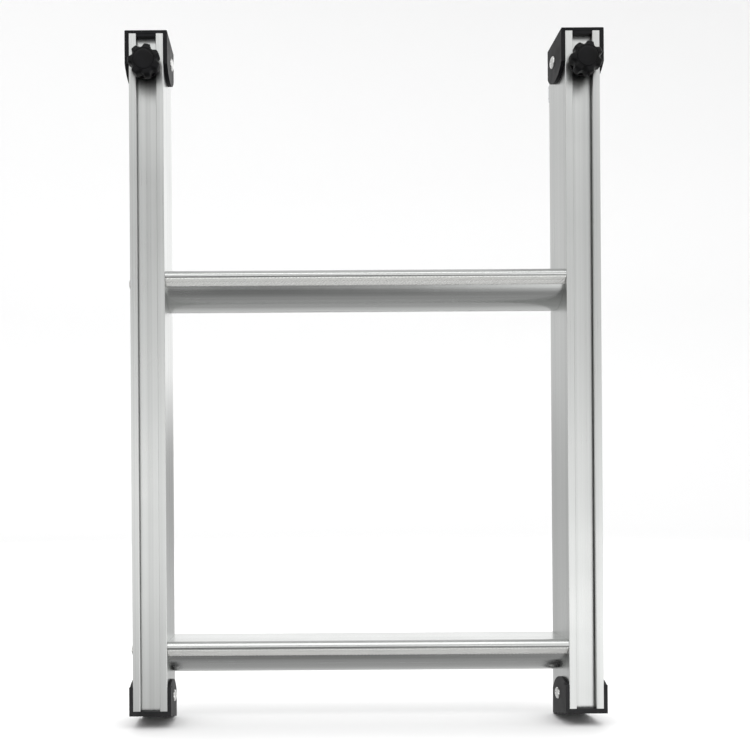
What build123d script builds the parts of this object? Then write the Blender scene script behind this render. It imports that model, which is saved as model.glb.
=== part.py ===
from build123d import *
import os
from math import asin, cos, pi, radians, sin, sqrt, tan

# Boat boarding ladder section: two T-slot rails, two D-section rungs, end caps, feet,
# and a clamping knob with a slot nut at the head of each rail.
# Millimetres. X runs to the right, Y from the front towards the back, Z up along the rails.
# The pieces are built with the rails' front face at Y = 0 and are centred in Y when written.

# ---------------------------------------------------------------- overall sizes
RUNG_PITCH = 306.5           # tread to tread
TOP_TO_TREAD = 197.5         # top of the caps to the upper tread
TREAD_TO_SOLE = 61.0         # lower tread to the front edge of the soles
CLEAR_WIDTH = 331.0          # between the rails
SOLE_TILT = 14.0             # degrees; the soles stand flat when the ladder leans about 4 to 1

# ---------------------------------------------------------------- rail extrusion
RAIL_W = 28.5
RAIL_D = 45.0
RAIL_WALL = 1.8
RAIL_BACK_R = 2.5            # eased back corners
SLOT_W = 16.1                # opening between the two front lips
LIP_T = 2.0
FRONT_EDGE_R = 0.6           # on the four edges of the two lips' front faces
WEB_Y = 4.5                  # front face of the web behind the T-slot
WEB_T = 2.0

# ---------------------------------------------------------------- rung extrusion
RUNG_H = 29.0                # tread to the lowest line of the underside
RUNG_BACK_GAP = 2.0          # the rung stops this far in front of the rail's back face
RUNG_WALL = 2.0
TREAD_T = 2.6
BEVEL_D = 4.4                # rounded bevel between tread and bead
BEVEL_H = 2.7
BEAD_H = 3.4                 # rounded bead along the front
BEAD_CROWN = 0.5
BEAD_GROOVE = 0.6            # small V-groove under the bead
KNURL_H = 5.6                # sloping band that carries the knurl
KNURL_D = 4.6
UNDER_BACK_L = 16.0          # from the lowest line to the back face
UNDER_RISE = 3.0             # how far the underside rises behind the lowest line
UNDER_BACK_R = 2.0
TREAD_BACK_R = 1.0
NOSE_SOLID = 4.2             # metal behind the nose
PORT_R = 4.4                 # screw ports inside the rung
PORT_DROPS = (8.5, 17.5)     # port centres below the tread, front port and back port
PORT_WEB = 2.0

# ---------------------------------------------------------------- caps and feet
CHEEK_D = 36.0               # the cheeks stop this far behind the rail's front face
CAP_PLATE_T = 2.6
CAP_CHEEK_T = 3.3
CAP_FRONT_H = 27.5           # cheek's straight front edge, below the top
CAP_LOW_H = 35.5             # cheek's lowest point, below the top
CAP_BACK_H = 25.0            # cheek's straight back edge, below the top
CAP_LOW_SHARE = 0.42         # where that lowest point lies, front to back
TONGUE_H = 2.4               # plug of the slot's mouth
FOOT_PLATE_T = 4.0           # under the rail, at the front
FOOT_CHEEK_T = 2.4
FOOT_FRONT_H = 23.5          # cheek heights above the sole's front edge
FOOT_PEAK_H = 27.5
FOOT_BACK_H = 13.5
FOOT_PEAK_SHARE = 0.38
FOOT_RIB_W = 6.5             # raised rib along the cheek's front edge
FOOT_RIB_T = 0.6
SOLE_GROOVES = 4             # anti-slip grooves across the sole
SOLE_GROOVE_W = 2.0
SOLE_GROOVE_D = 1.0
PLUG_H = 4.0                 # plugs inside the rail's box
PLUG_CLEAR = 0.2
CAP_EDGE_R = 0.8

# ---------------------------------------------------------------- fasteners
RIVET_R = 2.4
RIVET_HEAD_R = 5.2
RIVET_HEAD_H = 1.8
RIVET_TAIL_R = 3.3
RIVET_TAIL_L = 2.6
RIVET_DIMPLE_R = 1.2
RIVET_CLEAR = 0.05
CAP_RIVET_DROP = 16.8        # below the top of the cap
FOOT_RIVET_RISE = 12.0       # above the sole's front edge
SCREW_R = 2.5
SCREW_HEAD_R = 4.5
SCREW_HEAD_H = 2.8
SCREW_HEAD_EDGE_R = 1.6
SCREW_TIP_CHAMFER = 0.6
SCREW_HEX_AF = 3.0
SCREW_FRONT_GAP = 4.5        # between the front screw and the slot's web
SCREW_BACK_GAP = 7.0         # between the back screw's head and the rail's rounded corner
SCREW_HEX_D = 1.8
SCREW_GRIP = 25.0            # length of screw inside the rung's port
SCREW_CLEAR = 0.3            # in the rail
THREAD_CLEAR = 0.05          # between a thread's crest cylinder and the bore it runs in
OVERCUT = 1.0                # how far a cutter runs past the faces it opens

# ---------------------------------------------------------------- knob and clamp
KNOB_DROP = 29.7             # knob's axis below the top of the cap
KNOB_LOBES = 7
KNOB_TIP_R = 13.3
KNOB_LOBE_R = 4.3
KNOB_CORE_R = 10.9
KNOB_HEAD_T = 9.6
KNOB_EDGE_R = 1.0
KNOB_HUB_R = 7.0
KNOB_HUB_T = 1.4
KNOB_CAP_R = 8.4
KNOB_CAP_T = 1.3
KNOB_CAP_SEAT = 1.0          # depth of the recess the cap sits in
KNOB_CAP_EDGE_R = 0.4
KNOB_CAP_CLEAR = 0.1
KNOB_FLOOR = 1.2             # plastic left between the insert and the cap
KNOB_FACE_GAP = 0.05         # between the knob's hub and the washer
INSERT_R = 5.4
INSERT_CLEAR = 0.02
INSERT_END_T = 1.0           # closed front end of the insert
WASHER_R = 10.6
WASHER_T = 1.2
STUD_R = 4.0                 # M8
STUD_HOLE_CLEAR = 0.1
STUD_CHAMFER = 0.8
STUD_PAST_BACK = 11.5        # stud's free end behind the rail
SLEEVE_WALL = 1.2
SLEEVE_END_CLEAR = 0.1        # at each end, inside the rail's box
NUT_L = 14.0                 # along the slot
NUT_HEAD_T = 5.0
NUT_SIDE_CLEAR = 0.35
NUT_LIP_CLEAR = 0.3          # room for the lips between the nut and the rail's back
NUT_EDGE = 0.5

# ---------------------------------------------------------------- derived places
RISE = tan(radians(SOLE_TILT))
SOLE_FRONT_Z = RAIL_D * RISE
LOWER_TREAD_Z = SOLE_FRONT_Z + TREAD_TO_SOLE
UPPER_TREAD_Z = LOWER_TREAD_Z + RUNG_PITCH
TOP_Z = UPPER_TREAD_Z + TOP_TO_TREAD
RAIL_TOP_Z = TOP_Z - CAP_PLATE_T
RAIL_BOTTOM_Z = SOLE_FRONT_Z + FOOT_PLATE_T
RAIL_X = (CLEAR_WIDTH + RAIL_W) / 2
INNER_W = RAIL_W - 2 * RAIL_WALL
WEB_BACK_Y = WEB_Y + WEB_T
SIDE_FLAT_D = RAIL_D - RAIL_BACK_R
RIVET_Y = RAIL_D / 2
CAP_RIVET_Z = TOP_Z - CAP_RIVET_DROP
FOOT_RIVET_Z = SOLE_FRONT_Z + FOOT_RIVET_RISE
FRONT_SCREW_Y = WEB_BACK_Y + SCREW_FRONT_GAP + SCREW_R
BACK_SCREW_Y = SIDE_FLAT_D - SCREW_BACK_GAP - SCREW_HEAD_R
SCREWS = tuple(zip((FRONT_SCREW_Y, BACK_SCREW_Y), PORT_DROPS))   # depth, drop below the tread
KNOB_Z = TOP_Z - KNOB_DROP
KNOB_BACK_Y = -(WASHER_T + KNOB_FACE_GAP)
HEAD_BACK_Y = KNOB_BACK_Y - KNOB_HUB_T
KNOB_FRONT_Y = HEAD_BACK_Y - KNOB_HEAD_T
CAP_SEAT_Y = KNOB_FRONT_Y + KNOB_CAP_SEAT
INSERT_FRONT_Y = CAP_SEAT_Y + KNOB_FLOOR
STUD_FRONT_Y = INSERT_FRONT_Y + INSERT_END_T
STUD_END_Y = RAIL_D + STUD_PAST_BACK
NUT_HEAD_Y = RAIL_D + LIP_T + NUT_LIP_CLEAR
Y_MID = (KNOB_FRONT_Y - (KNOB_CAP_T - KNOB_CAP_SEAT) + STUD_END_Y) / 2


def write(node, shape):
    """Write one sub-part, moved so that the whole object is centred in Y."""
    export_step(Pos(0, -Y_MID, 0) * shape, f"parts/{node}.step")


def block(x0, x1, y0, y1, z0, z1):
    """A box between two corners."""
    return Pos((x0 + x1) / 2, (y0 + y1) / 2, (z0 + z1) / 2) * Box(x1 - x0, y1 - y0, z1 - z0)


def rod_y(radius, y0, y1, x=0, z=0):
    """A cylinder along Y."""
    return Pos(x, (y0 + y1) / 2, z) * Rot(90, 0, 0) * Cylinder(radius, y1 - y0)


def rod_x(radius, x0, x1, y, z):
    """A cylinder along X."""
    return Pos((x0 + x1) / 2, y, z) * Rot(0, 90, 0) * Cylinder(radius, abs(x1 - x0))


def plan_outline(width, front, back, corner_r):
    """Plan-view face with square front corners and rounded back corners."""
    half = width / 2
    face = make_face(Polyline((-half, front), (half, front), (half, back), (-half, back), close=True))
    return fillet(face.vertices().group_by(Axis.Y)[-1], corner_r)


# ================================================================ rails
def rail_section():
    """C-shaped T-slot in front, hollow box behind, rounded back corners."""
    inner_r = RAIL_BACK_R - RAIL_WALL
    section = plan_outline(RAIL_W, 0, RAIL_D, RAIL_BACK_R)
    section -= plan_outline(INNER_W, WEB_BACK_Y, RAIL_D - RAIL_WALL, inner_r)
    section -= Pos(0, (LIP_T + WEB_Y) / 2) * Rectangle(INNER_W, WEB_Y - LIP_T)
    section -= Pos(0, LIP_T / 2) * Rectangle(SLOT_W, LIP_T)
    return fillet(section.vertices().group_by(Axis.Y)[0], FRONT_EDGE_R)


def make_rail():
    rail = Pos(0, 0, RAIL_BOTTOM_Z) * extrude(rail_section(), RAIL_TOP_Z - RAIL_BOTTOM_Z)
    rail -= rod_y(STUD_R + STUD_HOLE_CLEAR, WEB_Y - OVERCUT, RAIL_D + OVERCUT, z=KNOB_Z)
    for tread_z in (LOWER_TREAD_Z, UPPER_TREAD_Z):
        for y, drop in SCREWS:
            rail -= rod_x(SCREW_R + SCREW_CLEAR, -RAIL_W, RAIL_W, y, tread_z - drop)
    for z in (CAP_RIVET_Z, FOOT_RIVET_Z):
        rail -= rod_x(RIVET_R + RIVET_CLEAR, -RAIL_W, RAIL_W, RIVET_Y, z)
    return rail


# ================================================================ rungs
RUNG_BACK_Y = RAIL_D - RUNG_BACK_GAP
KNURL_TOP = BEVEL_H + BEAD_H + BEAD_GROOVE       # all measured down from the tread
NOSE_H = KNURL_TOP + KNURL_H
UNDER_START_Y = BEAD_CROWN + KNURL_D + BEAD_GROOVE
UNDER_LOW_Y = RUNG_BACK_Y - UNDER_BACK_L
UNDER_RUN = UNDER_LOW_Y - UNDER_START_Y
UNDER_FALL = RUNG_H - NOSE_H
UNDER_R = (UNDER_RUN**2 + UNDER_FALL**2) / (2 * UNDER_FALL)
UNDER_CENTRE_Z = UNDER_R - RUNG_H


def underside_z(y, inset=0.0):
    """Height of the underside's arc, or of the arc inset into the metal, below the tread."""
    return UNDER_CENTRE_Z - sqrt((UNDER_R - inset) ** 2 - (UNDER_LOW_Y - y) ** 2)


def rung_outline():
    """The rung's outer section: (y, z) with the tread at z = 0 and the bead's crown at y = 0."""
    bevel_end = (BEAD_CROWN, -BEVEL_H)
    bead_end = (BEAD_CROWN, -BEVEL_H - BEAD_H)
    knurl_top = (BEAD_CROWN, -KNURL_TOP)
    knurl_end = (BEAD_CROWN + KNURL_D, -NOSE_H)
    mid_y = (UNDER_START_Y + UNDER_LOW_Y) / 2
    bevel_r = ((BEVEL_D - BEAD_CROWN) ** 2 + BEVEL_H**2) / (2 * BEVEL_H)
    half_turn = asin((BEVEL_D - BEAD_CROWN) / bevel_r) / 2
    bevel_mid = (BEVEL_D - bevel_r * sin(half_turn), bevel_r * (cos(half_turn) - 1))
    lines = Line((BEVEL_D, 0), (RUNG_BACK_Y, 0))
    lines += Line((RUNG_BACK_Y, 0), (RUNG_BACK_Y, UNDER_RISE - RUNG_H))
    lines += Line((RUNG_BACK_Y, UNDER_RISE - RUNG_H), (UNDER_LOW_Y, -RUNG_H))
    lines += ThreePointArc(
        (UNDER_LOW_Y, -RUNG_H), (mid_y, underside_z(mid_y)), (UNDER_START_Y, -NOSE_H))
    lines += Line((UNDER_START_Y, -NOSE_H), (knurl_end[0] + BEAD_GROOVE / 2, -NOSE_H + BEAD_GROOVE))
    lines += Line((knurl_end[0] + BEAD_GROOVE / 2, -NOSE_H + BEAD_GROOVE), knurl_end)
    lines += Line(knurl_end, knurl_top)
    lines += Line(knurl_top, (BEAD_CROWN + BEAD_GROOVE, bead_end[1] - BEAD_GROOVE / 2))
    lines += Line((BEAD_CROWN + BEAD_GROOVE, bead_end[1] - BEAD_GROOVE / 2), bead_end)
    lines += ThreePointArc(bead_end, (0, -BEVEL_H - BEAD_H / 2), bevel_end)
    lines += ThreePointArc(bevel_end, bevel_mid, (BEVEL_D, 0))
    face = make_face(lines)
    back = face.vertices().group_by(Axis.X)[-1]
    face = fillet(back.sort_by(Axis.Y)[:1], UNDER_BACK_R)
    return fillet(face.vertices().group_by(Axis.X)[-1].sort_by(Axis.Y)[-1:], TREAD_BACK_R)


def rung_cells():
    """The three hollow cells: the cavity less the two screw ports and their webs."""
    front_low_y = UNDER_START_Y + RUNG_WALL
    low_z = -RUNG_H + RUNG_WALL
    back_y = RUNG_BACK_Y - RUNG_WALL
    mid_y = (front_low_y + UNDER_LOW_Y) / 2
    lines = Line((NOSE_SOLID + BEAD_CROWN, -TREAD_T), (back_y, -TREAD_T))
    lines += Line((back_y, -TREAD_T), (back_y, low_z + UNDER_RISE))
    lines += Line((back_y, low_z + UNDER_RISE), (UNDER_LOW_Y, low_z))
    lines += ThreePointArc(
        (UNDER_LOW_Y, low_z), (mid_y, underside_z(mid_y, RUNG_WALL)),
        (front_low_y, underside_z(front_low_y, RUNG_WALL)))
    lines += Line((front_low_y, underside_z(front_low_y, RUNG_WALL)), (NOSE_SOLID + BEAD_CROWN, -TREAD_T))
    cells = make_face(lines)
    for y, drop in SCREWS:
        cells -= Pos(y, -drop) * Circle(PORT_R)
        cells -= Pos(y, -RUNG_H / 2) * Rectangle(PORT_WEB, RUNG_H)
    return cells


def make_rung(tread_z):
    section = rung_outline() - rung_cells()
    for y, drop in SCREWS:
        section -= Pos(y, -drop) * Circle(SCREW_R + THREAD_CLEAR)
    plane = Plane((-CLEAR_WIDTH / 2, 0, tread_z), x_dir=(0, 1, 0), z_dir=(1, 0, 0))
    return extrude(plane * section, CLEAR_WIDTH)


def make_screw(side, y, z):
    """Pan-head screw from the rail's outer face into the rung; side is -1 or 1."""
    face_x = RAIL_X + RAIL_W / 2
    tip_x = RAIL_X - RAIL_W / 2 - SCREW_GRIP
    screw = rod_x(SCREW_R, tip_x, face_x, y, z)
    screw = chamfer(screw.edges().sort_by(Axis.X)[:1], SCREW_TIP_CHAMFER)
    head = rod_x(SCREW_HEAD_R, face_x, face_x + SCREW_HEAD_H, y, z)
    head = fillet(head.edges().sort_by(Axis.X)[-1:], SCREW_HEAD_EDGE_R)
    recess = Plane((face_x + SCREW_HEAD_H, y, z), z_dir=(1, 0, 0)) * RegularPolygon(
        SCREW_HEX_AF / 2, 6, major_radius=False)
    screw = screw + head - extrude(recess, -SCREW_HEX_D)
    return screw if side > 0 else mirror(screw, Plane.YZ)


# ================================================================ caps, feet and rivets
def cheek_face(front, extreme, back, share):
    """Side-view outline of a cheek: flat edge at 0, arched edge given by three heights."""
    arch = ThreePointArc((0, front), (share * CHEEK_D, extreme), (CHEEK_D, back))
    lines = Line((0, 0), (0, front)) + arch + Line((CHEEK_D, back), (CHEEK_D, 0))
    lines += Line((CHEEK_D, 0), (0, 0))
    return make_face(lines)


def cheeks(thickness, edge_z, face):
    """Both cheeks, flat on the rail's sides; face hangs or stands from edge_z."""
    pair = []
    for side in (-1, 1):
        start_x = RAIL_W / 2 if side > 0 else -RAIL_W / 2 - thickness
        plane = Plane((start_x, 0, edge_z), x_dir=(0, 1, 0), z_dir=(1, 0, 0))
        pair.append(extrude(plane * face, thickness))
    return pair


def box_plug(z0, z1):
    """Block that fills the rail's hollow box with a small clearance."""
    width = INNER_W - 2 * PLUG_CLEAR
    outline = plan_outline(
        width, WEB_BACK_Y + PLUG_CLEAR, RAIL_D - RAIL_WALL - PLUG_CLEAR,
        RAIL_BACK_R - RAIL_WALL - PLUG_CLEAR)
    return Pos(0, 0, z0) * extrude(outline, z1 - z0)


def slot_tongue(z0, z1):
    """T-shaped block that plugs the slot and its mouth."""
    neck = (SLOT_W - 2 * PLUG_CLEAR) / 2
    wide = (INNER_W - 2 * PLUG_CLEAR) / 2
    return block(-neck, neck, PLUG_CLEAR, LIP_T + PLUG_CLEAR, z0, z1) + block(
        -wide, wide, LIP_T + PLUG_CLEAR, WEB_Y - PLUG_CLEAR, z0, z1)


def rivet_holes(thickness, z):
    reach = RAIL_W / 2 + thickness + OVERCUT
    return rod_x(RIVET_R + RIVET_CLEAR, -reach, reach, RIVET_Y, z)


def make_top_cap():
    outer = RAIL_W / 2 + CAP_CHEEK_T
    cap = Pos(0, 0, RAIL_TOP_Z) * extrude(plan_outline(RAIL_W, 0, RAIL_D, RAIL_BACK_R), CAP_PLATE_T)
    cap += block(-outer, outer, 0, CHEEK_D, RAIL_TOP_Z, TOP_Z)
    face = cheek_face(-CAP_FRONT_H, -CAP_LOW_H, -CAP_BACK_H, CAP_LOW_SHARE)
    for cheek in cheeks(CAP_CHEEK_T, TOP_Z, face):
        cap += cheek
    cap = fillet(cap.edges().filter_by(Axis.Y).group_by(Axis.Z)[-1], CAP_EDGE_R)
    cap += slot_tongue(RAIL_TOP_Z - TONGUE_H, RAIL_TOP_Z)
    cap += box_plug(RAIL_TOP_Z - PLUG_H, RAIL_TOP_Z)
    return cap - rivet_holes(CAP_CHEEK_T, CAP_RIVET_Z)


def make_foot():
    outer = RAIL_W / 2 + FOOT_CHEEK_T
    foot = extrude(plan_outline(RAIL_W, 0, RAIL_D, RAIL_BACK_R), RAIL_BOTTOM_Z)
    foot += block(-outer, outer, 0, CHEEK_D, 0, RAIL_BOTTOM_Z)
    face = cheek_face(FOOT_FRONT_H, FOOT_PEAK_H, FOOT_BACK_H, FOOT_PEAK_SHARE)
    for cheek in cheeks(FOOT_CHEEK_T, SOLE_FRONT_Z, face):
        foot += cheek
    for side in (-1, 1):
        x0, x1 = sorted((side * outer, side * (outer + FOOT_RIB_T)))
        foot += block(x0, x1, 0, FOOT_RIB_W, 0, SOLE_FRONT_Z + FOOT_FRONT_H)
    foot += box_plug(RAIL_BOTTOM_Z, RAIL_BOTTOM_Z + PLUG_H)
    foot -= sole_cutter()
    return foot - rivet_holes(FOOT_CHEEK_T + FOOT_RIB_T, FOOT_RIVET_Z)


def sole_cutter():
    """Everything below the tilted sole plane, with the anti-slip grooves standing up from it."""
    tilt = radians(SOLE_TILT)
    plane = Plane((0, 0, SOLE_FRONT_Z), x_dir=(1, 0, 0), z_dir=(0, sin(tilt), cos(tilt)))
    length = RAIL_D / cos(tilt)
    width = 2 * RAIL_W
    cutter = Pos(0, length / 2, -RAIL_D / 2) * Box(width, 2 * length, RAIL_D)
    step = length / (SOLE_GROOVES + 1)
    for i in range(SOLE_GROOVES):
        cutter += Pos(0, (i + 1) * step, 0) * Box(width, SOLE_GROOVE_W, 2 * SOLE_GROOVE_D)
    return plane * cutter


def make_rivet(side, cheek_t, x_centre, z):
    """Blind rivet through a cheek and the rail's wall; side is the way its head faces."""
    head_x = RAIL_W / 2 + cheek_t
    wall_x = RAIL_W / 2 - RAIL_WALL
    tail_x = wall_x - RIVET_TAIL_L
    dome_r = (RIVET_HEAD_R**2 + RIVET_HEAD_H**2) / (2 * RIVET_HEAD_H)
    dome_x = head_x + RIVET_HEAD_H - dome_r
    mid_r = (RIVET_HEAD_R + RIVET_DIMPLE_R) / 2
    dimple_x = dome_x + sqrt(dome_r**2 - RIVET_DIMPLE_R**2)
    floor_x = dimple_x - RIVET_DIMPLE_R
    profile = Polyline(
        (floor_x, RIVET_DIMPLE_R), (floor_x, 0), (tail_x, 0), (tail_x, RIVET_TAIL_R),
        (wall_x, RIVET_TAIL_R), (wall_x, RIVET_R), (head_x, RIVET_R), (head_x, RIVET_HEAD_R))
    profile += ThreePointArc(
        (head_x, RIVET_HEAD_R), (dome_x + sqrt(dome_r**2 - mid_r**2), mid_r),
        (dimple_x, RIVET_DIMPLE_R))
    profile += Line((dimple_x, RIVET_DIMPLE_R), (floor_x, RIVET_DIMPLE_R))
    rivet = Pos(0, RIVET_Y, z) * revolve(make_face(profile), Axis.X)
    if side < 0:
        rivet = mirror(rivet, Plane.YZ)
    return Pos(x_centre, 0, 0) * rivet


# ================================================================ knob and clamp
def knob_outline():
    """Seven rounded lobes round a core; one lobe points to the left."""
    outline = Circle(KNOB_CORE_R)
    for i in range(KNOB_LOBES):
        angle = pi + 2 * pi * i / KNOB_LOBES
        centre = KNOB_TIP_R - KNOB_LOBE_R
        outline += Pos(centre * cos(angle), centre * sin(angle)) * Circle(KNOB_LOBE_R)
    return outline


def make_knob():
    plane = Plane((0, HEAD_BACK_Y, KNOB_Z), x_dir=(1, 0, 0), z_dir=(0, -1, 0))
    head = extrude(plane * knob_outline(), KNOB_HEAD_T)
    head = fillet(head.edges().group_by(Axis.Y)[0], KNOB_EDGE_R)
    knob = head + rod_y(KNOB_HUB_R, HEAD_BACK_Y, KNOB_BACK_Y, z=KNOB_Z)
    knob -= rod_y(KNOB_CAP_R + KNOB_CAP_CLEAR, KNOB_FRONT_Y, CAP_SEAT_Y, z=KNOB_Z)
    knob -= rod_y(INSERT_R + INSERT_CLEAR, INSERT_FRONT_Y, KNOB_BACK_Y, z=KNOB_Z)
    return knob


def make_knob_cap():
    cap = rod_y(KNOB_CAP_R, CAP_SEAT_Y - KNOB_CAP_T, CAP_SEAT_Y, z=KNOB_Z)
    return fillet(cap.edges().group_by(Axis.Y)[0], KNOB_CAP_EDGE_R)


def make_insert():
    insert = rod_y(INSERT_R, INSERT_FRONT_Y, KNOB_BACK_Y, z=KNOB_Z)
    return insert - rod_y(STUD_R + INSERT_CLEAR, STUD_FRONT_Y, KNOB_BACK_Y, z=KNOB_Z)


def make_stud():
    stud = rod_y(STUD_R, STUD_FRONT_Y, STUD_END_Y, z=KNOB_Z)
    return chamfer(stud.edges().group_by(Axis.Y)[-1], STUD_CHAMFER)


def make_washer():
    return rod_y(WASHER_R, -WASHER_T, 0, z=KNOB_Z) - rod_y(
        STUD_R + STUD_HOLE_CLEAR, -WASHER_T, 0, z=KNOB_Z)


def make_sleeve():
    y0 = WEB_BACK_Y + SLEEVE_END_CLEAR
    y1 = RAIL_D - RAIL_WALL - SLEEVE_END_CLEAR
    bore_r = STUD_R + STUD_HOLE_CLEAR
    return rod_y(bore_r + SLEEVE_WALL, y0, y1, z=KNOB_Z) - rod_y(bore_r, y0, y1, z=KNOB_Z)


def make_slot_nut():
    """T-shaped nut: the neck runs between the lips of the slot behind, the head behind them."""
    neck = SLOT_W / 2 - NUT_SIDE_CLEAR
    wide = INNER_W / 2 - NUT_SIDE_CLEAR
    z0, z1 = KNOB_Z - NUT_L / 2, KNOB_Z + NUT_L / 2
    head = block(-wide, wide, NUT_HEAD_Y, NUT_HEAD_Y + NUT_HEAD_T, z0, z1)
    head = chamfer(head.edges().group_by(Axis.Y)[-1], NUT_EDGE)
    nut = head + block(-neck, neck, NUT_HEAD_Y - LIP_T + NUT_LIP_CLEAR, NUT_HEAD_Y, z0, z1)
    return nut - rod_y(STUD_R + THREAD_CLEAR, RAIL_D, STUD_END_Y, z=KNOB_Z)


# ================================================================ writing the parts
os.makedirs("parts", exist_ok=True)

RAIL = make_rail()
TOP_CAP = make_top_cap()
FOOT = make_foot()
CLAMP = {
    "knob": make_knob(),
    "knob_cap": make_knob_cap(),
    "knob_insert": make_insert(),
    "stud": make_stud(),
    "knob_washer": make_washer(),
    "stud_sleeve": make_sleeve(),
    "slot_nut": make_slot_nut(),
}

for hand, x_centre in (("left", -RAIL_X), ("right", RAIL_X)):
    place = Pos(x_centre, 0, 0)
    write(f"{hand}_rail", place * RAIL)
    write(f"{hand}_top_cap", place * TOP_CAP)
    write(f"{hand}_foot", place * FOOT)
    for name, piece in CLAMP.items():
        write(f"{hand}_{name}", place * piece)
    for name, cheek_t, z in (("top_cap_rivets", CAP_CHEEK_T, CAP_RIVET_Z),
                             ("foot_rivets", FOOT_CHEEK_T, FOOT_RIVET_Z)):
        pair = [make_rivet(side, cheek_t, x_centre, z) for side in (-1, 1)]
        write(f"{hand}_{name}", Compound(pair))

for name, tread_z in (("upper", UPPER_TREAD_Z), ("lower", LOWER_TREAD_Z)):
    write(f"{name}_rung", make_rung(tread_z))
    screws = [make_screw(side, y, tread_z - drop) for side in (-1, 1) for y, drop in SCREWS]
    write(f"{name}_rung_screws", Compound(screws))
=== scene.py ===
import math

import bmesh
import bpy
from mathutils import Matrix, Vector


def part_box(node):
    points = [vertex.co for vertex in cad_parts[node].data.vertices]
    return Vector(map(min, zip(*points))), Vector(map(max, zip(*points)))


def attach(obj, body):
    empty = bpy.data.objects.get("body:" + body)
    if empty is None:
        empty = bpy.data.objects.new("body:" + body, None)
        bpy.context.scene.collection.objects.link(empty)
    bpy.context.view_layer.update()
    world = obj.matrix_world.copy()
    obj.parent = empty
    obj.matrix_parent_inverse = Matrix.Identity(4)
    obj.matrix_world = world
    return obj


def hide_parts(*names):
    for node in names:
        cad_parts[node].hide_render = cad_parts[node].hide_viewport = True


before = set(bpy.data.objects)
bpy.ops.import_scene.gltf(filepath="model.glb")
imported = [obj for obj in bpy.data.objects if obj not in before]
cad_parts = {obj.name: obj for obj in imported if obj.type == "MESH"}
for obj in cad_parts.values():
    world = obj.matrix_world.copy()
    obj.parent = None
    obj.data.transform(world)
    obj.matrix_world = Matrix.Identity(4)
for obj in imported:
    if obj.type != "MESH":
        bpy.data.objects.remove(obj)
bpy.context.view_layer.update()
MM = 0.001
WELD = 2e-6           # vertices this near each other are one
FLAT_ANGLE = 0.6      # degrees; faces that meet at less are parts of one face


# ================================================================ places read from the frame
def span(node):
    """Lowest corner, highest corner and middle of a CAD node."""
    lo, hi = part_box(node)
    return lo, hi, (lo + hi) / 2


SIDES = ("left", "right")
LEVELS = ("upper", "lower")
RAIL_X = {side: span(f"{side}_rail")[2].x for side in SIDES}


# ================================================================ mesh helpers
def mesh_object(name, verts, faces, smooth_angle=None):
    mesh = bpy.data.meshes.new(name)
    mesh.from_pydata([tuple(v) for v in verts], [], [tuple(f) for f in faces])
    mesh.validate()
    mesh.update()
    obj = bpy.data.objects.new(name, mesh)
    bpy.context.scene.collection.objects.link(obj)
    if smooth_angle is not None:
        shade(obj, smooth_angle)
    return obj


def shade(obj, angle):
    """Smooth shading with creases above the angle, baked into the mesh's edges."""
    mesh = obj.data
    bm = bmesh.new()
    bm.from_mesh(mesh)
    bmesh.ops.recalc_face_normals(bm, faces=bm.faces)
    limit = math.radians(angle)
    for e in bm.edges:
        e.smooth = len(e.link_faces) == 2 and e.calc_face_angle(0) < limit
    for f in bm.faces:
        f.smooth = True
    bm.to_mesh(mesh)
    bm.free()
    mesh.update()


def soften(node, name, width, segments, crease=28, hard=32):
    """A copy of a CAD node whose sharp edges carry a small radius, as a machined or moulded part has."""
    bm = bmesh.new()
    bm.from_mesh(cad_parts[node].data)
    bmesh.ops.remove_doubles(bm, verts=bm.verts, dist=WELD)
    bmesh.ops.dissolve_limit(bm, angle_limit=math.radians(FLAT_ANGLE), verts=bm.verts, edges=bm.edges,
                             use_dissolve_boundaries=False)
    bmesh.ops.recalc_face_normals(bm, faces=bm.faces)
    sharp = [e for e in bm.edges
             if len(e.link_faces) == 2 and e.calc_face_angle(0) > math.radians(crease)
             and e.calc_length() > width * 0.2]
    bmesh.ops.bevel(bm, geom=sharp, offset=width, offset_type="OFFSET", segments=segments,
                    profile=0.5, affect="EDGES", clamp_overlap=True, harden_normals=False,
                    miter_outer="ARC", miter_inner="SHARP")
    for f in bm.faces:
        f.smooth = True
    for e in bm.edges:
        e.smooth = len(e.link_faces) == 2 and e.calc_face_angle(0) < math.radians(hard)
    mesh = bpy.data.meshes.new(name)
    bm.to_mesh(mesh)
    bm.free()
    mesh.update()
    obj = bpy.data.objects.new(name, mesh)
    bpy.context.scene.collection.objects.link(obj)
    weighted = obj.modifiers.new("weighted_normals", "WEIGHTED_NORMAL")
    weighted.keep_sharp = True
    weighted.weight = 80
    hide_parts(node)
    return obj


def lathe(name, profile, steps, place, smooth_angle):
    """Closed solid of revolution round the Z axis of place; profile is (radius, height) from axis to axis."""
    verts, faces, rings = [], [], []
    for r, h in profile:
        if r < 1e-9:
            rings.append([len(verts)])
            verts.append(place @ Vector((0, 0, h)))
        else:
            ring = []
            for i in range(steps):
                a = 2 * math.pi * i / steps
                ring.append(len(verts))
                verts.append(place @ Vector((r * math.cos(a), r * math.sin(a), h)))
            rings.append(ring)
    for a, b in zip(rings, rings[1:]):
        for i in range(steps):
            j = (i + 1) % steps
            if len(a) == 1 and len(b) > 1:
                faces.append((a[0], b[i], b[j]))
            elif len(b) == 1 and len(a) > 1:
                faces.append((a[i], b[0], a[j]))
            elif len(a) > 1:
                faces.append((a[i], b[i], b[j], a[j]))
    return mesh_object(name, verts, faces, smooth_angle)


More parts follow.
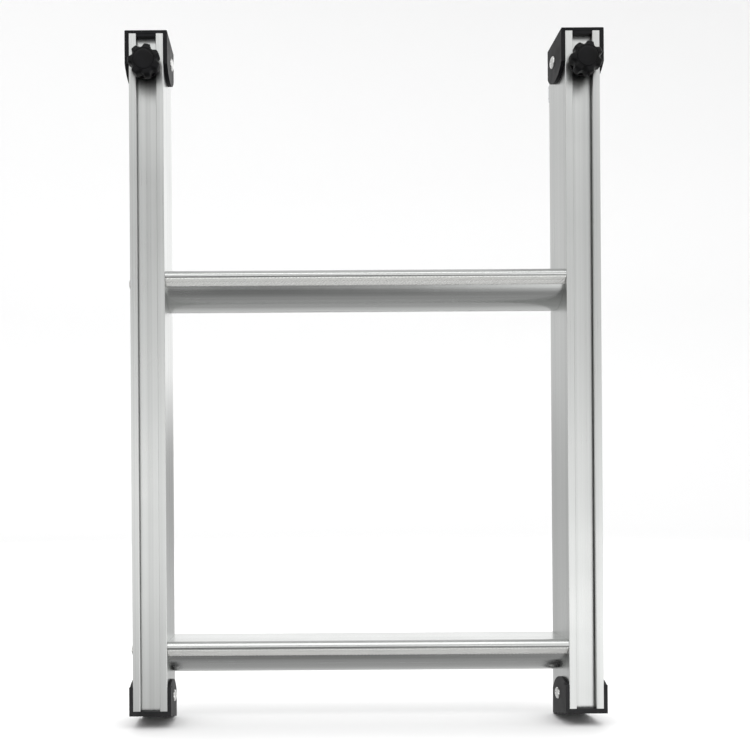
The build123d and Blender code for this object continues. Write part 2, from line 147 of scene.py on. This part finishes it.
def ring_stack(name, rings, steps, point_at, smooth_angle):
    """Surface through rings of (height, radius over the angle), closed at both ends.

    point_at turns a point across, up and along the axis into its place.
    """
    verts, faces = [], []
    for height, radius_at in rings:
        for i in range(steps):
            a = 2 * math.pi * i / steps
            r = radius_at(a)
            verts.append(point_at(r * math.cos(a), r * math.sin(a), height))
    for k in range(len(rings) - 1):
        a, b = k * steps, (k + 1) * steps
        for i in range(steps):
            j = (i + 1) % steps
            faces.append((a + i, a + j, b + j, b + i))
    last = (len(rings) - 1) * steps
    faces.append(tuple(range(steps)))
    faces.append(tuple(last + i for i in reversed(range(steps))))
    return mesh_object(name, verts, faces, smooth_angle)


def circle(height, radius):
    """A round ring of a ring stack."""
    return height, lambda a: radius


def around_y(centre):
    """Places the points of a ring stack round an axis along Y, where a ring's height is its Y."""
    return lambda across, up, y: (centre.x + across, y, centre.z + up)


def joined(name, parts):
    """One mesh out of several, keeping each one's shading."""
    verts, faces, sharp = [], [], []
    for o in parts:
        base = len(verts)
        verts += [v.co.copy() for v in o.data.vertices]
        faces += [[base + i for i in p.vertices] for p in o.data.polygons]
        sharp += [(base + e.vertices[0], base + e.vertices[1]) for e in o.data.edges if e.use_edge_sharp]
        bpy.data.objects.remove(o)
    obj = mesh_object(name, verts, faces)
    keys = {tuple(sorted(k)) for k in sharp}
    for e in obj.data.edges:
        e.use_edge_sharp = tuple(sorted(e.vertices)) in keys
    for p in obj.data.polygons:
        p.use_smooth = True
    return obj


# ================================================================ shader helpers
def new_material(name):
    mat = bpy.data.materials.new(name)
    mat.use_nodes = True
    nt = mat.node_tree
    nt.nodes.clear()
    out = nt.nodes.new("ShaderNodeOutputMaterial")
    bsdf = nt.nodes.new("ShaderNodeBsdfPrincipled")
    nt.links.new(bsdf.outputs["BSDF"], out.inputs["Surface"])
    return mat, nt, bsdf


def noise(nt, scale, stretch=(1, 1, 1), detail=3.0, roughness=0.55):
    """Noise in the object's own space; stretch multiplies each axis before the noise is read."""
    coord = nt.nodes.new("ShaderNodeTexCoord")
    mapping = nt.nodes.new("ShaderNodeMapping")
    mapping.inputs["Scale"].default_value = stretch
    nt.links.new(coord.outputs["Object"], mapping.inputs["Vector"])
    tex = nt.nodes.new("ShaderNodeTexNoise")
    tex.inputs["Scale"].default_value = scale
    tex.inputs["Detail"].default_value = detail
    tex.inputs["Roughness"].default_value = roughness
    nt.links.new(mapping.outputs["Vector"], tex.inputs["Vector"])
    return tex.outputs["Fac"]


def remap(nt, value, lo, hi, to_lo, to_hi):
    n = nt.nodes.new("ShaderNodeMapRange")
    for key, v in (("From Min", lo), ("From Max", hi), ("To Min", to_lo), ("To Max", to_hi)):
        n.inputs[key].default_value = v
    nt.links.new(value, n.inputs["Value"])
    return n.outputs["Result"]


def ramp(nt, value, stops):
    n = nt.nodes.new("ShaderNodeValToRGB")
    while len(n.color_ramp.elements) < len(stops):
        n.color_ramp.elements.new(0.5)
    for e, (at, colour) in zip(n.color_ramp.elements, stops):
        e.position = at
        e.color = (*colour, 1)
    nt.links.new(value, n.inputs["Fac"])
    return n.outputs["Color"]


def mix(nt, a, b, share):
    """Weighted sum of two values: share of a, and the rest of b."""
    weighted = []
    for value, weight in ((a, share), (b, 1 - share)):
        n = nt.nodes.new("ShaderNodeMath")
        n.operation = "MULTIPLY"
        nt.links.new(value, n.inputs[0])
        n.inputs[1].default_value = weight
        weighted.append(n.outputs[0])
    total = nt.nodes.new("ShaderNodeMath")
    total.operation = "ADD"
    for value, socket in zip(weighted, total.inputs):
        nt.links.new(value, socket)
    return total.outputs[0]


def bump(nt, height, strength, distance, after=None):
    n = nt.nodes.new("ShaderNodeBump")
    n.inputs["Strength"].default_value = strength
    n.inputs["Distance"].default_value = distance
    nt.links.new(height, n.inputs["Height"])
    if after is not None:
        nt.links.new(after, n.inputs["Normal"])
    return n.outputs["Normal"]


def scaled(tone, by):
    """A colour made darker or lighter, kept within white."""
    return tuple(min(1, c * by) for c in tone)


# ================================================================ materials
DIE_LINE_STRETCH = 0.0004    # along the extrusion, so that the lines run for its whole length
CHATTER_STRETCH = 0.02       # across the extrusion, so that chatter marks lie across the lines


def extruded_aluminium(name, along, tone=(0.62, 0.63, 0.62), rough=0.30, metallic=1.0):
    """Satin mill-finish extrusion: die lines along one axis, with soft haze and faint chatter across them."""
    mat, nt, bsdf = new_material(name)
    stretch = [1.0, 1.0, 1.0]
    stretch[along] = DIE_LINE_STRETCH
    lines = noise(nt, 900, stretch, detail=4, roughness=0.65)
    wide = noise(nt, 190, stretch, detail=2)
    haze = noise(nt, 14)
    cross = [CHATTER_STRETCH] * 3
    cross[along] = 1.0
    chatter = noise(nt, 420, cross, detail=2)
    tint = mix(nt, lines, wide, 0.45)
    colour = ramp(nt, tint, [(0.30, scaled(tone, 0.86)), (0.50, tone), (0.70, scaled(tone, 1.07))])
    nt.links.new(colour, bsdf.inputs["Base Color"])
    spread = mix(nt, lines, haze, 0.5)
    nt.links.new(remap(nt, spread, 0.3, 0.7, rough - 0.06, rough + 0.08), bsdf.inputs["Roughness"])
    normal = bump(nt, lines, 0.08, 0.00010)
    normal = bump(nt, wide, 0.05, 0.0002, normal)
    nt.links.new(bump(nt, chatter, 0.025, 0.0002, normal), bsdf.inputs["Normal"])
    bsdf.inputs["Metallic"].default_value = metallic
    return mat


def moulded_plastic(name, dark, light, rough, gloss):
    """Black nylon with a fine grain and faint flow marks, which are paler and rougher than the rest."""
    mat, nt, bsdf = new_material(name)
    flow = noise(nt, 60, detail=4, roughness=0.6)
    grain = noise(nt, 2600, detail=2)
    nt.links.new(ramp(nt, flow, [(0.35, dark), (0.68, light)]), bsdf.inputs["Base Color"])
    nt.links.new(remap(nt, flow, 0.3, 0.7, rough - 0.07, rough + 0.09), bsdf.inputs["Roughness"])
    nt.links.new(bump(nt, grain, 0.16, 0.00012), bsdf.inputs["Normal"])
    bsdf.inputs["Specular IOR Level"].default_value = gloss
    return mat


def plain_metal(name, tone, rough, mottle=0.08):
    """Turned or plated metal: a cloudy tone and a fine all-over grain."""
    mat, nt, bsdf = new_material(name)
    cloud = noise(nt, 120, detail=4, roughness=0.65)
    grain = noise(nt, 500)
    colour = ramp(nt, cloud, [(0.3, scaled(tone, 1 - mottle)), (0.7, scaled(tone, 1 + mottle))])
    nt.links.new(colour, bsdf.inputs["Base Color"])
    nt.links.new(remap(nt, cloud, 0.3, 0.7, rough - 0.05, rough + 0.08), bsdf.inputs["Roughness"])
    nt.links.new(bump(nt, grain, 0.08, 0.0001), bsdf.inputs["Normal"])
    bsdf.inputs["Metallic"].default_value = 1.0
    return mat


ALONG_X, ALONG_Z = 0, 2
MATERIALS = {
    "rail_aluminium": extruded_aluminium("satin_rail_aluminium", ALONG_Z),
    "rung_aluminium": extruded_aluminium("satin_rung_aluminium", ALONG_X, (0.61, 0.62, 0.61), 0.23),
    "cap_plastic": moulded_plastic(
        "cap_black_nylon", (0.002, 0.002, 0.003), (0.007, 0.007, 0.008), 0.46, 0.14),
    "foot_plastic": moulded_plastic(
        "foot_black_nylon", (0.008, 0.008, 0.009), (0.022, 0.022, 0.023), 0.50, 0.22),
    "knob_plastic": moulded_plastic(
        "knob_black_nylon", (0.002, 0.002, 0.002), (0.005, 0.005, 0.006), 0.36, 0.12),
    "rivet_aluminium": plain_metal("rivet_bright_aluminium", (0.76, 0.76, 0.75), 0.26),
    "zinc_steel": plain_metal("zinc_plated_steel", (0.62, 0.63, 0.66), 0.28, mottle=0.12),
    "screw_steel": plain_metal("stainless_screw_steel", (0.66, 0.65, 0.63), 0.22),
    "brass": plain_metal("turned_brass", (0.78, 0.57, 0.25), 0.27),
}
# the knurled band: a rougher finish that is partly diffuse, and a base tone raised well above the rung's; the
# raised tone is painted light that brightens the band
KNURLED_AND_PAINTED_BRIGHT = extruded_aluminium("knurled_rung_aluminium", ALONG_X, (0.80, 0.80, 0.78), 0.46, metallic=0.65)


def finish_piece(obj, slot, body, material=None):
    """Gives a piece its material, chosen by the record's slot unless one is given, and the body that it rides
    on.
    """
    obj.data.materials.clear()
    obj.data.materials.append(material or MATERIALS[slot])
    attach(obj, body)
    return obj


# ================================================================ rails, rungs, caps, feet, nuts and washers
# CAD node and new piece without their side, edge radius in mm, segments, material slot, body
SIDE_PIECES = (
    ("rail", "rail_profile", 0.35, 3, "rail_aluminium", "frame"),
    ("top_cap", "cap_moulding", 0.5, 3, "cap_plastic", "frame"),
    ("foot", "foot_moulding", 0.4, 3, "foot_plastic", "frame"),
    ("slot_nut", "nut_block", 0.35, 2, "zinc_steel", "nut_set"),
    ("knob_washer", "washer_disc", 0.2, 2, "knob_plastic", "frame"),
)

for side in SIDES:
    for node, piece, radius, segments, slot, body in SIDE_PIECES:
        softened = soften(f"{side}_{node}", f"{side}_{piece}", radius * MM, segments)
        finish_piece(softened, slot, body if body == "frame" else f"{side}_{body}")
for level in LEVELS:
    finish_piece(soften(f"{level}_rung", f"{level}_rung_profile", 0.25 * MM, 2), "rung_aluminium", "frame")


# ================================================================ knurled bands on the rungs
# the band in the rung's section: depth behind the bead's crown, height over the tread
KNURL_TOP = Vector((0.5 * MM, -6.7 * MM))
KNURL_LOW = Vector((5.1 * MM, -12.3 * MM))
KNURL_RELIEF = 0.55 * MM
KNURL_FLOOR = 0.15            # share of the relief that is left between ridges
KNURL_PITCH = 2.9 * MM        # ridge to ridge along the rung
KNURL_SLANT = 0.9             # a ridge's way along the rung, as a share of its way down the band
KNURL_SHARPNESS = 0.7         # under 1 widens the ridges
GROOVE_W = 0.42 * MM          # wavy groove half way down the band
GROOVE_WAVE = 0.30 * MM
GROOVE_DEPTH = 0.6            # share of the relief
KNURL_FADE_SHARE = 0.16       # the pattern fades over this share of the band's half width
KNURL_FADE_END = 1.2 * MM     # and over this length at each end of the rung
KNURL_STEP = 0.24 * MM        # mesh step along the rung
KNURL_ROWS = 22               # mesh rows down the band
KNURL_SINK = 0.15 * MM        # the band's rim lies this far inside the rung
KNURL_BACK_SINK = 0.6 * MM    # and its flat back this far
KNURL_BACK_INSET = 0.3 * MM


def knurl_height(x, s, length, to_end):
    """Height of the rolled pattern at x along the rung and s down the band."""
    turn = 2 * math.pi * (x + KNURL_SLANT * s) / KNURL_PITCH
    ridge = (0.5 + 0.5 * math.cos(turn)) ** KNURL_SHARPNESS
    groove = math.exp(-((s - length / 2 - GROOVE_WAVE * math.sin(turn)) / GROOVE_W) ** 2)
    edge = min(1, (1 - abs(2 * s / length - 1)) / KNURL_FADE_SHARE)
    fade = math.sqrt(max(0, edge * min(1, to_end / KNURL_FADE_END)))
    return KNURL_RELIEF * (KNURL_FLOOR + (1 - KNURL_FLOOR) * ridge) * (1 - GROOVE_DEPTH * groove) * fade


def knurl_band(level):
    """Rope-knurled strip rolled into the sloping band under the rung's bead."""
    lo, hi, _ = span(f"{level}_rung")
    run = KNURL_LOW - KNURL_TOP
    length = run.length
    down = run / length
    out = Vector((down.y, -down.x))
    columns = int((hi.x - lo.x) / KNURL_STEP)
    verts, faces = [], []
    for i in range(columns + 1):
        x = lo.x + (hi.x - lo.x) * i / columns
        for j in range(KNURL_ROWS + 1):
            s = length * j / KNURL_ROWS
            height = knurl_height(x, s, length, min(x - lo.x, hi.x - x))
            rim = height < 1e-6
            p = KNURL_TOP + down * s + out * (height - KNURL_SINK if rim else height)
            verts.append((x, lo.y + p.x, hi.z + p.y))
    w = KNURL_ROWS + 1
    for i in range(columns):
        for j in range(KNURL_ROWS):
            a = i * w + j
            faces.append((a, a + 1, a + w + 1, a + w))
    # the flat back, four corners inside the rung, and the sides that join it to the pattern's rim
    base = len(verts)
    for x in (lo.x, hi.x):
        for p in (KNURL_TOP + down * KNURL_BACK_INSET, KNURL_LOW - down * KNURL_BACK_INSET):
            q = p - out * KNURL_BACK_SINK
            verts.append((x, lo.y + q.x, hi.z + q.y))
    top_left, low_left, top_right, low_right = range(base, base + 4)
    faces.append((top_left, low_left, low_right, top_right))
    faces.append((top_left, *range(w), low_left))
    faces.append((top_right, *range(columns * w, columns * w + w), low_right))
    faces.append((top_left, *range(0, columns * w + 1, w), top_right))
    faces.append((low_left, *range(KNURL_ROWS, columns * w + w, w), low_right))
    obj = mesh_object(f"{level}_rung_knurl", verts, faces, 50)
    # the band takes the brightened copy of the rung aluminium, whose raised tone is painted light
    return finish_piece(obj, "rung_aluminium", "frame", KNURLED_AND_PAINTED_BRIGHT)


for level in LEVELS:
    knurl_band(level)


# ================================================================ star knobs
KNOB_LOBES = 7
LOBE_FLAT = 10.5              # degrees from a lobe's middle to the end of its flat top
LOBE_BLEND = 1.2              # degrees each way over which the outline is averaged, to round its corners
KNOB_TIP_R = 13.3 * MM
KNOB_VALLEY_R = 10.7 * MM
KNOB_HUB_T = 1.4 * MM
COVER_SEAT_R = 8.5 * MM
COVER_SEAT_D = 1.0 * MM
COVER_POCKET_R = 4.2 * MM     # hidden behind the cover
COVER_POCKET_D = 3.0 * MM
COVER_RIM_R = 9.05 * MM
SEAT_CHAMFER = 0.15 * MM
HUB_R = 7.0 * MM
INSERT_SEAT_R = 5.45 * MM
# the grip's rolled edges: distance from the face, inset from the outline, in mm
FRONT_ROLL = ((0.10, 2.6), (0.55, 1.25), (1.05, 0.62), (1.7, 0.22), (2.4, 0.04), (3.2, 0.0))
BACK_ROLL = ((2.6, 0.10), (1.4, 0.35), (0.7, 0.75), (0.25, 1.3), (0.0, 2.2))


def star_radius(angle, tip):
    """Outline of the grip: flat-topped lobes with shallow scallops between them; one lobe points left."""
    half = 180 / KNOB_LOBES
    total = 0
    for k in (-1, 0, 1):
        u = math.degrees(angle - math.pi) + k * LOBE_BLEND
        u = abs((u + half) % (2 * half) - half)
        v = min(1, (half - u) / (half - LOBE_FLAT))
        total += KNOB_VALLEY_R + (tip - KNOB_VALLEY_R) * v * v
    return total / 3


def star_knob(side):
    """Moulded grip with a seat for its cover, lobes with rolled edges, and a hub round the insert."""
    lo, hi, _ = span(f"{side}_knob")
    front, back = lo.y, hi.y
    head_back = back - KNOB_HUB_T
    # the lobe that points left has none opposite, so the box is a little narrower than the grip
    tip = min((hi.x - lo.x) / 2 * 1.03, KNOB_TIP_R)

    def lobed(y, inset):
        return y, lambda a: max(COVER_RIM_R, star_radius(a, tip) - inset)

    rings = [circle(front + COVER_POCKET_D, COVER_POCKET_R), circle(front + COVER_SEAT_D, COVER_POCKET_R),
             circle(front + COVER_SEAT_D, COVER_SEAT_R), circle(front + SEAT_CHAMFER, COVER_SEAT_R),
             circle(front, COVER_SEAT_R + SEAT_CHAMFER), circle(front + 0.02 * MM, 9.0 * MM)]
    rings += [lobed(front + d * MM, inset * MM) for d, inset in FRONT_ROLL]
    rings += [lobed(head_back - d * MM, inset * MM) for d, inset in BACK_ROLL]
    rings += [circle(head_back, HUB_R + 0.6 * MM), circle(head_back + 0.25 * MM, HUB_R),
              circle(back - 0.2 * MM, HUB_R), circle(back, HUB_R - 0.2 * MM),
              circle(back, INSERT_SEAT_R), circle(back - 0.4 * MM, INSERT_SEAT_R)]
    obj = ring_stack(f"{side}_star_knob", rings, 336, around_y(span(f"{side}_stud")[2]), 40)
    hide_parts(f"{side}_knob")
    return finish_piece(obj, "knob_plastic", f"{side}_knob_set")


def knob_cover(side):
    """Snap-in cover in the middle of the knob, very slightly domed with a rounded rim."""
    lo, hi, mid = span(f"{side}_knob_cap")
    r = (hi.x - lo.x) / 2
    t = hi.y - lo.y
    place = Matrix.Translation((mid.x, hi.y, mid.z)) @ Matrix.Rotation(math.radians(90), 4, "X")
    profile = [(0, 0), (r - 0.1 * MM, 0), (r, 0.12 * MM), (r, t - 0.55 * MM), (r - 0.10 * MM, t - 0.36 * MM),
               (r - 0.30 * MM, t - 0.20 * MM), (r - 0.65 * MM, t - 0.10 * MM), (r * 0.7, t - 0.04 * MM),
               (r * 0.35, t - 0.01 * MM), (0, t)]
    obj = lathe(f"{side}_knob_cover", profile, 96, place, 40)
    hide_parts(f"{side}_knob_cap")
    return finish_piece(obj, "knob_plastic", f"{side}_knob_set")


for side in SIDES:
    star_knob(side)
    knob_cover(side)


# ================================================================ threaded studs
STUD_PITCH = 1.25 * MM
STUD_THREAD_D = 0.60 * MM
STUD_TIP_CHAMFER = 0.8 * MM
TOOTH_ROOT = 0.10             # share of the pitch that is flat at the root of the thread
TOOTH_FLANKS = 0.78           # share of the pitch that the two flanks take


def tooth(turn):
    """Height of a sharp thread, from 0 at its root to 1 at its crest, over the turns along it."""
    return abs(turn % 1.0 - 0.5) * 2


def threaded_stud(side):
    """M8 stud, threaded over its whole length, with a chamfered tip at each end."""
    lo, hi, mid = span(f"{side}_stud")
    r = (hi.x - lo.x) / 2
    rows = int((hi.y - lo.y) / (STUD_PITCH / 14))

    def thread(y):
        chamfered = r - STUD_TIP_CHAMFER + min(y - lo.y, hi.y - y)

        def radius_at(a):
            height = (tooth(y / STUD_PITCH - a / (2 * math.pi)) - TOOTH_ROOT) / TOOTH_FLANKS
            return min(chamfered, r - STUD_THREAD_D * (1 - min(1, max(0, height))))
        return y, radius_at

    rings = [thread(lo.y + (hi.y - lo.y) * k / rows) for k in range(rows + 1)]
    obj = ring_stack(f"{side}_threaded_stud", rings, 48, around_y(mid), 38)
    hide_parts(f"{side}_stud")
    return finish_piece(obj, "zinc_steel", f"{side}_knob_set")


for side in SIDES:
    threaded_stud(side)


# ================================================================ rivets and screws
RIVET_HEAD_H = 1.8 * MM
RIVET_HEAD_TRIM = 0.93        # the dome's edge, as a share of the CAD head
RIVET_R = 2.4 * MM
DIMPLE_R = 1.45 * MM          # where the dome ends and the broken mandrel shows
SCREW_HEAD_H = 2.8 * MM
SCREW_HEAD_EDGE_R = 1.6 * MM
SCREW_R = 2.5 * MM
SCREW_PITCH = 0.8 * MM
SCREW_THREAD_D = 0.38 * MM
SCREW_TIP_CHAMFER = 0.6 * MM
HEXAGON_AF = 3.0 * MM
HEXAGON_D = 1.8 * MM
HEAD_STEPS = 8                # mesh steps over a head's rounding


def islands(node):
    """Boxes of the separate solids in one CAD node."""
    bm = bmesh.new()
    bm.from_mesh(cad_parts[node].data)
    bmesh.ops.remove_doubles(bm, verts=bm.verts, dist=WELD)
    seen, found = set(), []
    for start in bm.verts:
        if start.index in seen:
            continue
        stack, group = [start], []
        seen.add(start.index)
        while stack:
            v = stack.pop()
            group.append(v.co.copy())
            for e in v.link_edges:
                o = e.other_vert(v)
                if o.index not in seen:
                    seen.add(o.index)
                    stack.append(o)
        lo = Vector([min(p[i] for p in group) for i in range(3)])
        hi = Vector([max(p[i] for p in group) for i in range(3)])
        found.append((lo, hi))
    bm.free()
    return found


def axis_frame(lo, hi, outward):
    """Placement of a fastener: local Z runs along +X or -X, out of the rail, from the box's inner end."""
    inner_x = lo.x if outward > 0 else hi.x
    mid = (lo + hi) / 2
    turn = Matrix.Rotation(math.radians(90 * outward), 4, "Y")
    return Matrix.Translation((inner_x, mid.y, mid.z)) @ turn


def blind_rivet(name, lo, hi):
    """Dome-head rivet through the cheek and the rail wall; the broken mandrel shows as a disc in the dome."""
    mid_x = (lo.x + hi.x) / 2
    outward = 1 if mid_x > RAIL_X["left" if mid_x < 0 else "right"] else -1
    head_r = (hi.z - lo.z) / 2 * RIVET_HEAD_TRIM
    top = hi.x - lo.x
    seat = top - RIVET_HEAD_H
    rim = 0.25 * MM
    profile = [(0, 0), (2.9 * MM, 0), (3.3 * MM, 0.4 * MM), (3.2 * MM, 2.1 * MM), (RIVET_R, 2.6 * MM),
               (RIVET_R, seat), (head_r - 0.15 * MM, seat), (head_r, seat + 0.1 * MM)]
    for k in range(HEAD_STEPS + 1):
        a = math.radians(90 * k / HEAD_STEPS)
        profile.append((DIMPLE_R + (head_r - DIMPLE_R) * math.cos(a),
                        seat + rim + (RIVET_HEAD_H - rim) * math.sin(a)))
    profile += [(1.35 * MM, top - 0.12 * MM), (1.22 * MM, top - 0.55 * MM), (1.05 * MM, top - 0.6 * MM),
                (0.95 * MM, top - 0.42 * MM), (0.6 * MM, top - 0.34 * MM), (0, top - 0.32 * MM)]
    return lathe(name, profile, 64, axis_frame(lo, hi, outward), 42)


def hexagon(a):
    """Radius of the key's recess over the angle."""
    sector = (a + math.pi / 6) % (math.pi / 3) - math.pi / 6
    return HEXAGON_AF / 2 / math.cos(sector)


def pan_screw(name, lo, hi):
    """Pan-head screw with a hexagon recess and a thread along its shank."""
    head_r = (hi.z - lo.z) / 2
    length = hi.x - lo.x
    seat = length - SCREW_HEAD_H
    rows = int(seat / (SCREW_PITCH / 6))

    def thread(height):
        tip = SCREW_R - SCREW_TIP_CHAMFER + height
        return height, lambda a: min(tip, SCREW_R - SCREW_THREAD_D * (
            1 - tooth(height / SCREW_PITCH - a / (2 * math.pi))))

    rings = [thread(seat * k / rows) for k in range(rows + 1)]
    rings += [circle(seat, head_r - 0.12 * MM), circle(seat + 0.12 * MM, head_r)]
    for k in range(1, HEAD_STEPS + 1):
        b = math.radians(90 * k / HEAD_STEPS)
        rings.append(circle(length - SCREW_HEAD_EDGE_R * (1 - math.sin(b)),
                            head_r - SCREW_HEAD_EDGE_R * (1 - math.cos(b))))
    rings += [(length, lambda a: hexagon(a) + 0.18 * MM), (length - 0.12 * MM, hexagon),
              (length - HEXAGON_D, hexagon)]
    place = axis_frame(lo, hi, 1 if lo.x > 0 else -1)
    return ring_stack(name, rings, 72, lambda x, y, z: place @ Vector((x, y, z)), 38)


def fasteners(node, maker, name, slot):
    """All the fasteners of one CAD node, as one piece."""
    parts = [maker(f"{node}_{i}", lo, hi) for i, (lo, hi) in enumerate(islands(node))]
    obj = joined(name, parts)
    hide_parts(node)
    return finish_piece(obj, slot, "frame")


for side in SIDES:
    fasteners(f"{side}_top_cap_rivets", blind_rivet, f"{side}_cap_rivet_heads", "rivet_aluminium")
    fasteners(f"{side}_foot_rivets", blind_rivet, f"{side}_foot_rivet_heads", "rivet_aluminium")
for level in LEVELS:
    fasteners(f"{level}_rung_screws", pan_screw, f"{level}_rung_pan_screws", "screw_steel")

# the nodes that stay as CAD made them
for side in SIDES:
    for node, slot in (("knob_insert", "brass"), ("stud_sleeve", "rung_aluminium")):
        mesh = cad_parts[f"{side}_{node}"].data
        for i in range(len(mesh.materials)):
            mesh.materials[i] = MATERIALS[slot]


# ================================================================ floor and room
FLOOR_R = 3.6
COVE_R = 1.4
COVE_STEPS = 16
WALL_H = 7.0


def pale_paint():
    mat, _, bsdf = new_material("floor_paint")
    bsdf.inputs["Base Color"].default_value = (0.93, 0.93, 0.93, 1)
    bsdf.inputs["Roughness"].default_value = 0.9
    bsdf.inputs["Specular IOR Level"].default_value = 0.1
    return mat


def stage_part(name, rings, paint, steps=96):
    """One piece of the pale studio: rings of (radius, height) joined into a surface, or one ring filled."""
    verts, faces = [], []
    for r, z in rings:
        verts += [(r * math.cos(2 * math.pi * i / steps), r * math.sin(2 * math.pi * i / steps), z)
                  for i in range(steps)]
    for k in range(len(rings) - 1):
        for i in range(steps):
            j = (i + 1) % steps
            faces.append((k * steps + i, k * steps + j, (k + 1) * steps + j, (k + 1) * steps + i))
    if len(rings) == 1:
        faces.append(tuple(range(steps)))
    obj = mesh_object(name, verts, faces)
    for p in obj.data.polygons:
        p.use_smooth = True
    obj.data.materials.append(paint)
    obj.visible_glossy = False
    return obj


def studio_room():
    """Round pale floor that curves up into a plain wall; the wall only closes the view."""
    paint = pale_paint()
    stage_part("studio_floor", [(FLOOR_R, 0.0)], paint)
    turns = [math.radians(90 * k / COVE_STEPS) for k in range(COVE_STEPS + 1)]
    cove = [(FLOOR_R + COVE_R * math.sin(a), COVE_R * (1 - math.cos(a))) for a in turns]
    wall = stage_part("studio_wall", cove + [(FLOOR_R + COVE_R, WALL_H)], paint)
    wall.visible_diffuse = False
    wall.visible_shadow = False


studio_room()


# ================================================================ light
# name, place, point it aims at, width and length, watts, whether it shows in reflections
LIGHTS = (
    ("overhead", (0.0, 1.0, 2.4), (0, 1.0, 0), (3.8, 2.6), 24, False),
    ("floor_front", (0.0, -1.2, 2.2), (0, -0.5, 0), (2.6, 1.4), 16, False),
    ("front_top", (-0.1, -1.3, 1.9), (0, 0, 0.3), (1.8, 0.5), 4, True),
    ("backdrop", (0.0, 1.4, 2.6), (0, 2.6, 1.0), (3.4, 0.8), 12, False),
)
WORLD_STRENGTH = 1.6
# grey levels over the height of a direction, from -1 straight down to 1 straight up
ROOM_LEVELS = {
    "front": [(-1.0, 0.28), (-0.7, 0.12), (-0.34, 0.13), (-0.24, 0.46), (-0.12, 0.84), (0.0, 0.88),
              (0.12, 0.72), (0.30, 0.34), (0.50, 0.34), (0.58, 1.15), (0.70, 1.15), (0.80, 0.34),
              (0.9, 0.34), (1.0, 0.52)],
    "front_right": [(-1.0, 0.28), (-0.7, 0.20), (-0.40, 0.60), (-0.24, 1.10), (-0.08, 1.00), (0.04, 0.70),
                    (0.14, 0.50), (0.30, 0.46), (0.50, 0.44), (0.58, 1.10), (0.70, 1.10), (0.80, 0.34),
                    (0.9, 0.34), (1.0, 0.52)],
    "behind": [(-1.0, 0.28), (-0.7, 0.44), (-0.3, 0.50), (-0.12, 0.42), (0.0, 0.30), (0.07, 0.32),
               (0.14, 0.82), (0.45, 0.80), (0.60, 0.50), (0.8, 0.44), (1.0, 0.52)],
    "behind_left": [(-1.0, 0.28), (-0.5, 0.42), (0.5, 0.40), (1.0, 0.52)],
}
# over these parts of X, or of Y, one side of the room turns into the next
FRONT_TO_RIGHT_X = (0.10, 0.30)
LEFT_TO_BEHIND_X = (-0.34, -0.12)
FRONT_TO_BEHIND_Y = (-0.25, 0.25)


def area_light(name, place, aim, size, power, glossy):
    data = bpy.data.lights.new(name, "AREA")
    data.shape = "RECTANGLE"
    data.size, data.size_y = size
    data.energy = power
    obj = bpy.data.objects.new(name, data)
    bpy.context.scene.collection.objects.link(obj)
    obj.location = place
    obj.rotation_mode = "QUATERNION"
    obj.rotation_quaternion = (Vector(aim) - Vector(place)).to_track_quat("-Z", "Y")
    obj.visible_camera = False
    obj.visible_glossy = glossy


def greys(nt, value, stops):
    """Ramp of greys over a direction's height."""
    return ramp(nt, remap(nt, value, -1, 1, 0, 1), [((z + 1) / 2, (v,) * 3) for z, v in stops])


def blend_colours(nt, share, a, b):
    blended = nt.nodes.new("ShaderNodeMix")
    blended.data_type = "RGBA"
    nt.links.new(share, blended.inputs["Factor"])
    nt.links.new(a, blended.inputs["A"])
    nt.links.new(b, blended.inputs["B"])
    return blended.outputs["Result"]


def world_light():
    """Soft room light: a ramp over height for each side of the room, blended where they meet."""
    world = bpy.data.worlds.new("studio")
    bpy.context.scene.world = world
    world.use_nodes = True
    nt = world.node_tree
    nt.nodes.clear()
    out = nt.nodes.new("ShaderNodeOutputWorld")
    background = nt.nodes.new("ShaderNodeBackground")
    coord = nt.nodes.new("ShaderNodeTexCoord")
    parts = nt.nodes.new("ShaderNodeSeparateXYZ")
    nt.links.new(coord.outputs["Generated"], parts.inputs["Vector"])
    x, y, z = (parts.outputs[axis] for axis in "XYZ")
    levels = {name: greys(nt, z, stops) for name, stops in ROOM_LEVELS.items()}
    front = blend_colours(nt, remap(nt, x, *FRONT_TO_RIGHT_X, 0, 1), levels["front"], levels["front_right"])
    behind = blend_colours(nt, remap(nt, x, *LEFT_TO_BEHIND_X, 0, 1), levels["behind_left"], levels["behind"])
    tone = blend_colours(nt, remap(nt, y, *FRONT_TO_BEHIND_Y, 0, 1), front, behind)
    nt.links.new(tone, background.inputs["Color"])
    background.inputs["Strength"].default_value = WORLD_STRENGTH
    nt.links.new(background.outputs["Background"], out.inputs["Surface"])


world_light()
for light in LIGHTS:
    area_light(*light)


# ================================================================ camera
# level and in front of the gap between the rails, looking along +Y, with a slight roll
CAMERA_PLACE = (-0.0588, -0.692, 0.188)
CAMERA_ROLL = -0.38           # degrees
CAMERA_LENS = 39.07
CAMERA_SHIFT = (0.1057, 0.1677)

camera_data = bpy.data.cameras.new("camera")
camera = bpy.data.objects.new("camera", camera_data)
bpy.context.scene.collection.objects.link(camera)
camera_data.sensor_width = 36
camera_data.lens = CAMERA_LENS
camera_data.shift_x, camera_data.shift_y = CAMERA_SHIFT
camera_data.clip_start, camera_data.clip_end = 0.05, 50
camera.location = CAMERA_PLACE
camera.rotation_mode = "QUATERNION"
camera.rotation_quaternion = (Matrix.Rotation(math.radians(90), 3, "X")
                              @ Matrix.Rotation(math.radians(CAMERA_ROLL), 3, "Z")).to_quaternion()
bpy.context.scene.camera = camera
bpy.context.scene.view_settings.view_transform = "Standard"
